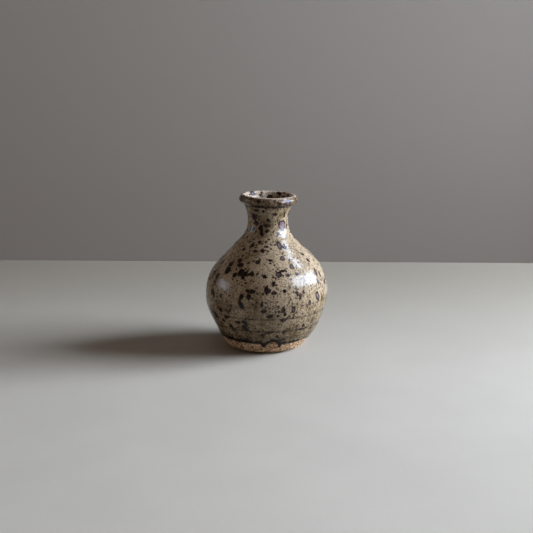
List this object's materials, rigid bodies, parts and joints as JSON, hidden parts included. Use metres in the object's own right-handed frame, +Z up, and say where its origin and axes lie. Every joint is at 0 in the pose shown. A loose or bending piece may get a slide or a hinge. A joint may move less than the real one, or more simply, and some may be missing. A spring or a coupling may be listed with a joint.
{
  "type": "ceramic bud vase",
  "caption": "Small round-bellied stoneware bud vase with a narrow flared neck, rolled rim, speckled glaze and a bare clay foot.",
  "frame": {"origin": "middle of the base, on the surface that the vase stands on", "axes": "+Z up along the turning axis; -Y is the side that the picture shows"},
  "size_m": [0.0864, 0.0864, 0.108],
  "materials": {
    "raw_stoneware": "unglazed iron-bearing stoneware, buff orange, fine grog",
    "dipped_glaze": "glossy olive-tan glaze with dark brown iron specks and blotches",
    "inner_glaze": "glossy olive-brown glaze, poured"
  },
  "bodies": {
    "root": {"stoneware_body": "raw_stoneware", "outer_glaze": "dipped_glaze", "liner_glaze": "inner_glaze"}
  },
  "joints": []
}
